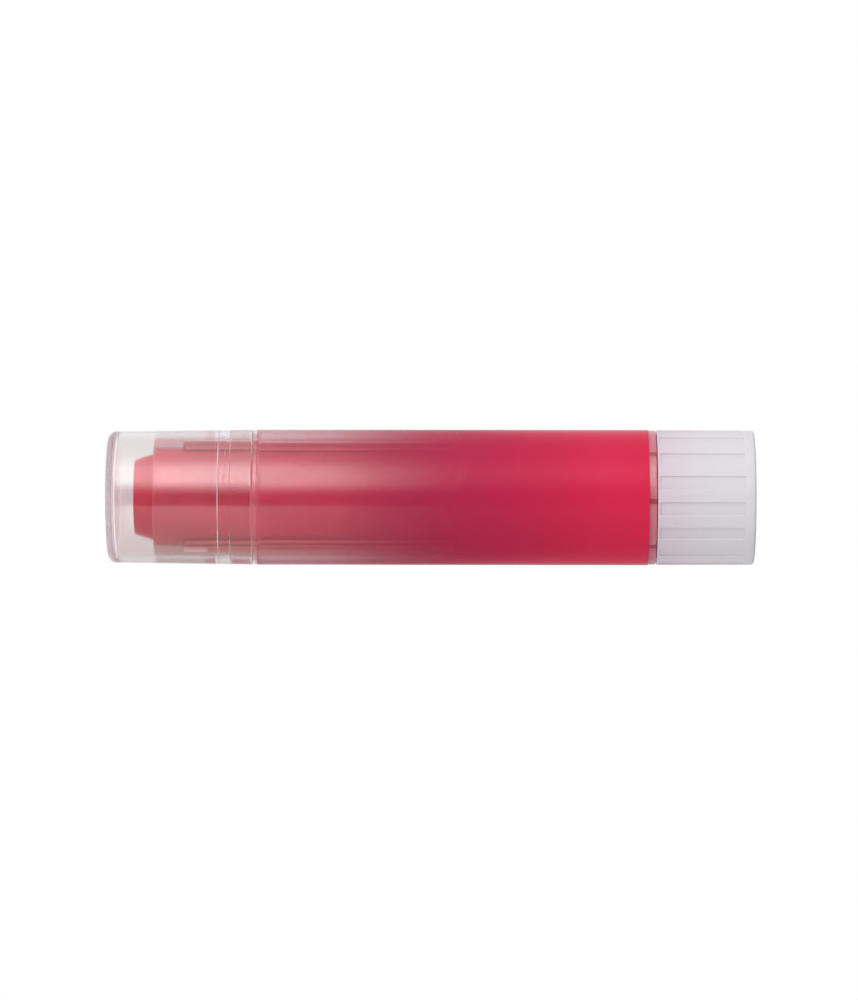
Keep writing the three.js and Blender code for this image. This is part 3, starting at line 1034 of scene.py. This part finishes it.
# Painted shade: over the slots the dust is dark red, for the shaded hollows with pigment behind them.
slot_pigment_and_shade = ramp(tree, specks, [(0.35, (0.62, 0.08, 0.14)), (0.65, (0.54, 0.06, 0.11))])
slots = math_node(tree, "MULTIPLY", around(tree, axes), SLOT_COUNT)
slots = math_node(tree, "SUBTRACT", slots, at(COLLAR_TURN) * SLOT_COUNT)
from_slot = math_node(tree, "PINGPONG", slots, 0.5)
half_slot = SLOT_WIDTH / 2 / RING_OUT / (2 * math.pi) * SLOT_COUNT
in_slot = math_node(tree, "LESS_THAN", from_slot, half_slot)
feed(
    tree,
    shader,
    Base_Color=blend(tree, in_slot, open_dust, slot_pigment_and_shade),
    Alpha=ramp(tree, specks, [(0.35, grey(0.55)), (0.65, grey(0.75))]),
)
dress(collar_dust, dust_wax)
dress(gap_dust, dust_wax)

faint_dust, tree, shader = material("pigment_dust_faint", Roughness=0.6, Specular_IOR_Level=0.2)
specks = noise(tree, object_place(tree)[0], 900.0, 3.0)
feed(
    tree,
    shader,
    Base_Color=ramp(tree, specks, [(0.35, (0.72, 0.26, 0.30)), (0.65, (0.64, 0.20, 0.24))]),
    Alpha=ramp(tree, specks, [(0.35, grey(0.12)), (0.65, grey(0.22))]),
)
dress(flange_dust, faint_dust)
print("dust: a slot is", round(2 * half_slot / SLOT_COUNT * 360, 1), "degrees wide")

# %% [markdown]
# ## Finish of the cap's smears
# The cap has rubbed pigment off the neck. The smears show at the two edges of the cap, where we
# look along its wall, and they are redder and thicker at the mouth than further in.

# %% Material of the smears
smear_wax, tree, shader = material("cap_smear", Roughness=0.6)
place, axes = object_place(tree)
clouds = noise(tree, place, 300.0, 2.0)
further_in = between(tree, axes["Z"], 76.8, 77.3)
far = ramp(tree, clouds, [(0.35, (0.50, 0.30, 0.31)), (0.65, (0.42, 0.23, 0.25))])
close = ramp(tree, clouds, [(0.35, (0.62, 0.09, 0.13)), (0.65, (0.54, 0.06, 0.09))])
thick = ramp(
    tree,
    around(tree, axes),
    [
        (at(-150), grey(0.02)),
        (at(-110), grey(0.42)),
        (at(-75), grey(0.42)),
        (at(-68), grey(0.02)),
        (at(60), grey(0.02)),
        (at(68), grey(0.16)),
        (at(100), grey(0.16)),
        (at(120), grey(0.02)),
    ],
)
thinning = ramp(tree, further_in, [(0.0, grey(1.0)), (1.0, grey(0.6))])
feed(
    tree,
    shader,
    Base_Color=blend(tree, further_in, close, far),
    Alpha=math_node(tree, "MULTIPLY", thick, thinning),
)
for smear in smears:
    dress(smear, smear_wax)
print("smears:", len(tree.nodes), "nodes")

# %% [markdown]
# ## Label finish
# The film is printed so that it fades: at the cap end it is a thin pink-grey veil, and at the knob
# end it is opaque strong pink. Both the colour and the Alpha follow the height along the stick. The
# light passes two faces of the film at each crossing, so Alpha per face is less than it looks. A
# very fine grain breaks up the steps of the fade.

# %% Material of the label
label_ink, tree, shader = material(
    "label_film_print", IOR=1.45, Roughness=0.25, Specular_IOR_Level=0.15
)
place, axes = object_place(tree)
grain = math_node(tree, "SUBTRACT", noise(tree, place, 60000.0, 0.0), 0.5)
along = math_node(
    tree,
    "ADD",
    between(tree, axes["Z"], LABEL_LOW, LABEL_HIGH),
    math_node(tree, "MULTIPLY", grain, 0.10),
)
tint = ramp(
    tree,
    along,
    [
        (0.0, (0.71, 0.019, 0.072)),
        (0.20, (0.66, 0.020, 0.074)),
        (0.38, (0.62, 0.022, 0.090)),
        (0.64, (0.56, 0.034, 0.105)),
        (0.88, (0.56, 0.045, 0.115)),
        (1.0, (0.56, 0.055, 0.12)),
    ],
)
cover = ramp(
    tree,
    along,
    [
        (0.12, grey(1.0)),
        (0.38, grey(0.75)),
        (0.60, grey(0.44)),
        (0.80, grey(0.21)),
        (1.0, grey(0.13)),
    ],
)
# The veil looks denser at the stick's two edges, where we look along the film.
for start, end, extra in ((-7.8, -9.2, 0.20), (8.2, 9.2, 0.08)):
    side = between(tree, axes["X"], start, end, extra)
    cover = math_node(tree, "ADD", cover, side, clamp=True)
feed(tree, shader, Base_Color=tint, Alpha=cover)
dress(label, label_ink)
print("label ink:", len(tree.nodes), "nodes")

# %% [markdown]
# ## Knob and inner plastics
# The knob is natural polypropylene: milky, so light enters it and scatters before it leaves. It
# is pinker towards the barrel, where the pigment shines through. The spindle and the carrier are
# the same plastic, whiter and thicker, and the carrier is stained.

# %% Materials of the knob, the spindle and the carrier
knob_plastic, tree, shader = material(
    "knob_polypropylene",
    IOR=1.49,
    Specular_IOR_Level=0.2,
    Subsurface_Weight=0.3,
    Subsurface_Radius=(0.0014, 0.0013, 0.0013),
    Subsurface_Scale=1.0,
)
_, axes = object_place(tree)
milk = ramp(
    tree,
    between(tree, axes["Z"], 0, KNOB_TOP),
    [
        (0.0, (0.79, 0.775, 0.81)),
        (0.35, (0.775, 0.75, 0.785)),
        (0.60, (0.77, 0.725, 0.77)),
        (0.85, (0.75, 0.655, 0.715)),
        (1.0, (0.74, 0.63, 0.70)),
    ],
)
feed(tree, shader, Base_Color=milk)
add_wear(tree, shader, 50.0, 900.0, 0.30, 0.10, 0.05)
dress(knob, knob_plastic)

inner_plastic, tree, shader = material(
    "inner_polypropylene", Base_Color=(0.78, 0.77, 0.75, 1), IOR=1.49
)
add_wear(tree, shader, 80.0, 900.0, 0.35, 0.10, 0.05)
dress(spindle, inner_plastic)

stained_plastic, tree, shader = material("carrier_stained_by_pigment", IOR=1.49)
stain = noise(tree, object_place(tree)[0], 260.0, 4.0)
shade = ramp(tree, stain, [(0.35, (0.78, 0.30, 0.36)), (0.65, (0.70, 0.20, 0.27))])
feed(tree, shader, Base_Color=shade)
add_wear(tree, shader, 80.0, 900.0, 0.35, 0.10, 0.05)
dress(carrier, stained_plastic)
print("inner plastics:", inner_plastic.name, "and", stained_plastic.name)

# %% [markdown]
# ## Floor
# The stick stands on its knob on a plain pale floor. The camera sees the floor as pure white, by
# Light Path, while the stick still gets its plain pale light.

# %% Lay the floor
FLOOR_RADIUS = 0.35
FLOOR_DROP = 0.00005

fresh()
bpy.ops.mesh.primitive_circle_add(
    vertices=96, radius=FLOOR_RADIUS, fill_type="NGON", location=(0, 0, -FLOOR_DROP)
)
floor = bpy.context.object
floor.name = "floor"
floor_paint, tree, shader = material(
    "floor_paint", Base_Color=(0.80, 0.80, 0.80, 1), Roughness=0.9
)
rays = node(tree, "ShaderNodeLightPath")
glow = node(tree, "ShaderNodeEmission", {"Color": (1, 1, 1, 1), "Strength": 1.0})
seen_floor = node(
    tree,
    "ShaderNodeMixShader",
    {"Fac": rays.outputs["Is Camera Ray"], 1: shader.outputs[0], 2: glow.outputs[0]},
)
tree.links.new(seen_floor.outputs[0], tree.nodes["Material Output"].inputs["Surface"])
dress(floor, floor_paint)
print("floor:", 2 * FLOOR_RADIUS, "m across")

# %% [markdown]
# ## Light
# The photograph was lit by a broad soft box above the stick, with the dark of the room in front.
# The world repeats that for reflections: behind is white, the upper side bright, the lower side
# dim, and a narrow strip at the front is dark. One large lamp does the rest of the lighting.

# %% What outer faces mirror, and what light inside the plastic meets
world = bpy.data.worlds.new("studio")
bpy.context.scene.world = world
world.use_nodes = True
tree = world.node_tree
tree.nodes.clear()
way = node(tree, "ShaderNodeTexCoord").outputs["Generated"]
axes = node(tree, "ShaderNodeSeparateXYZ", {"Vector": way}).outputs
turnwise = around(tree, axes)


def studio_walls(levels):
    """A grey level for each direction round the stick, given in degrees from the front."""
    return ramp(tree, turnwise, [(at(degrees), grey(level)) for degrees, level in levels])


outside = studio_walls([
    (-178, 1.0), (-150, 0.35), (-123, 0.45), (-87, 0.5), (-59, 0.8), (-18, 1.2), (-13, 0.10),
    (6, 0.10), (15, 1.3), (30, 4.6), (52, 4.6), (64, 3.0), (75, 1.8), (91, 1.3), (110, 1.2),
    (125, 1.0), (152, 0.8), (178, 1.0),
])
inside = studio_walls([
    (-155, 1.0), (-140, 0.8), (-100, 0.6), (-60, 0.7), (-18, 0.8), (-13, 0.10), (4, 0.10),
    (13, 1.2), (26, 3.6), (50, 3.6), (62, 2.2), (76, 0.9), (100, 0.6), (125, 0.7), (150, 1.0),
])
print("world:", world.name)


# %% Choose what each kind of ray meets
FILL_LEVEL = 0.80
STEEP_START = 0.08
STEEP_GAIN = 20.0


def glow_of(colour):
    """A background of one colour."""
    return node(tree, "ShaderNodeBackground", {"Color": colour, "Strength": 1.0}).outputs[0]


def either(choice, no, yes):
    """One of two backgrounds, by a choice of 0 or 1."""
    return node(tree, "ShaderNodeMixShader", {"Fac": choice, 1: no, 2: yes}).outputs[0]


rays = node(tree, "ShaderNodeLightPath").outputs
entered = math_node(tree, "GREATER_THAN", rays["Transmission Depth"], 0.5)
reflected = math_node(tree, "GREATER_THAN", rays["Glossy Depth"], 0.5)
seen = math_node(tree, "MAXIMUM", rays["Is Glossy Ray"], rays["Is Transmission Ray"])
white = glow_of((1, 1, 1, 1))
# Rays that leave steeply up or down meet plain white instead of the walls.
steep = math_node(tree, "SUBTRACT", math_node(tree, "ABSOLUTE", axes["Z"]), STEEP_START)
steep = math_node(tree, "MULTIPLY", steep, STEEP_GAIN, clamp=True)
mirrored = either(entered, glow_of(outside), glow_of(inside))
mirrored = either(steep, mirrored, white)
mirrored = either(reflected, white, mirrored)
lit = either(seen, glow_of((*grey(FILL_LEVEL), 1)), mirrored)
final = either(rays["Is Camera Ray"], lit, white)
node(tree, "ShaderNodeOutputWorld", {"Surface": final})

# A ray crosses up to sixteen clear faces from one side of the barrel to the other.
light_paths = bpy.context.scene.cycles
light_paths.max_bounces = light_paths.transmission_bounces = 32
light_paths.glossy_bounces = light_paths.transparent_max_bounces = 24
print("world nodes:", len(tree.nodes))

# %% Hang the lamp
LAMP_ANGLE = from_front(43)
LAMP_DISTANCE = 0.55
LAMP_HEIGHT = 0.045
LAMP_SIZE = 0.35
LAMP_POWER = 1.32

fresh()
bpy.ops.object.light_add(
    type="AREA",
    location=(
        LAMP_DISTANCE * math.cos(LAMP_ANGLE),
        LAMP_DISTANCE * math.sin(LAMP_ANGLE),
        LAMP_HEIGHT,
    ),
)
lamp = bpy.context.object
lamp.name = "key_lamp"
lamp.data.shape = "SQUARE"
lamp.data.size = LAMP_SIZE
lamp.data.energy = LAMP_POWER
lamp.rotation_euler = (math.radians(90), 0, LAMP_ANGLE + math.radians(90))
lamp.visible_glossy = False
lamp.visible_transmission = False
print("lamp:", lamp.name, LAMP_POWER, "W")

# %% [markdown]
# ## Camera
# The stick was photographed from about 0.8 m with a long lens, lying with its cap to the left. Here
# the stick stands, so the camera is turned on its side instead. It stands in front of a point a
# little below the middle and looks slightly up the stick, as the picture's perspective shows.

# %% Set the camera
PIXEL = 0.1412 * MM
CAMERA_DISTANCE = 0.80
CAMERA_SIDE = -2.65 * PIXEL
CAMERA_HEIGHT = 40.55 * MM
AIM_HEIGHT = 45.67 * MM
CAMERA_ROLL = math.radians(0.072)
PHOTO_HEIGHT = 1000
SENSOR = 36.0
LENS_TRIM = 1.0022

fresh()
bpy.ops.object.camera_add(location=(CAMERA_SIDE, -CAMERA_DISTANCE, CAMERA_HEIGHT))
camera = bpy.context.object
camera.name = "camera"
pitch = math.atan((AIM_HEIGHT - CAMERA_HEIGHT) / CAMERA_DISTANCE)
forward = Vector((0, math.cos(pitch), math.sin(pitch)))
right = Vector((0, math.sin(pitch), -math.cos(pitch)))
upright = Matrix((right, right.cross(forward), -forward)).transposed()
camera.rotation_mode = "QUATERNION"
camera.rotation_quaternion = (upright @ Matrix.Rotation(CAMERA_ROLL, 3, "Z")).to_quaternion()
camera.data.sensor_width = SENSOR
camera.data.lens = SENSOR * CAMERA_DISTANCE / (PHOTO_HEIGHT * PIXEL) * LENS_TRIM
camera.data.clip_start = 0.05
camera.data.clip_end = 10
bpy.context.scene.camera = camera
bpy.context.scene.view_settings.view_transform = "Standard"
print("lens:", round(camera.data.lens, 1), "mm")
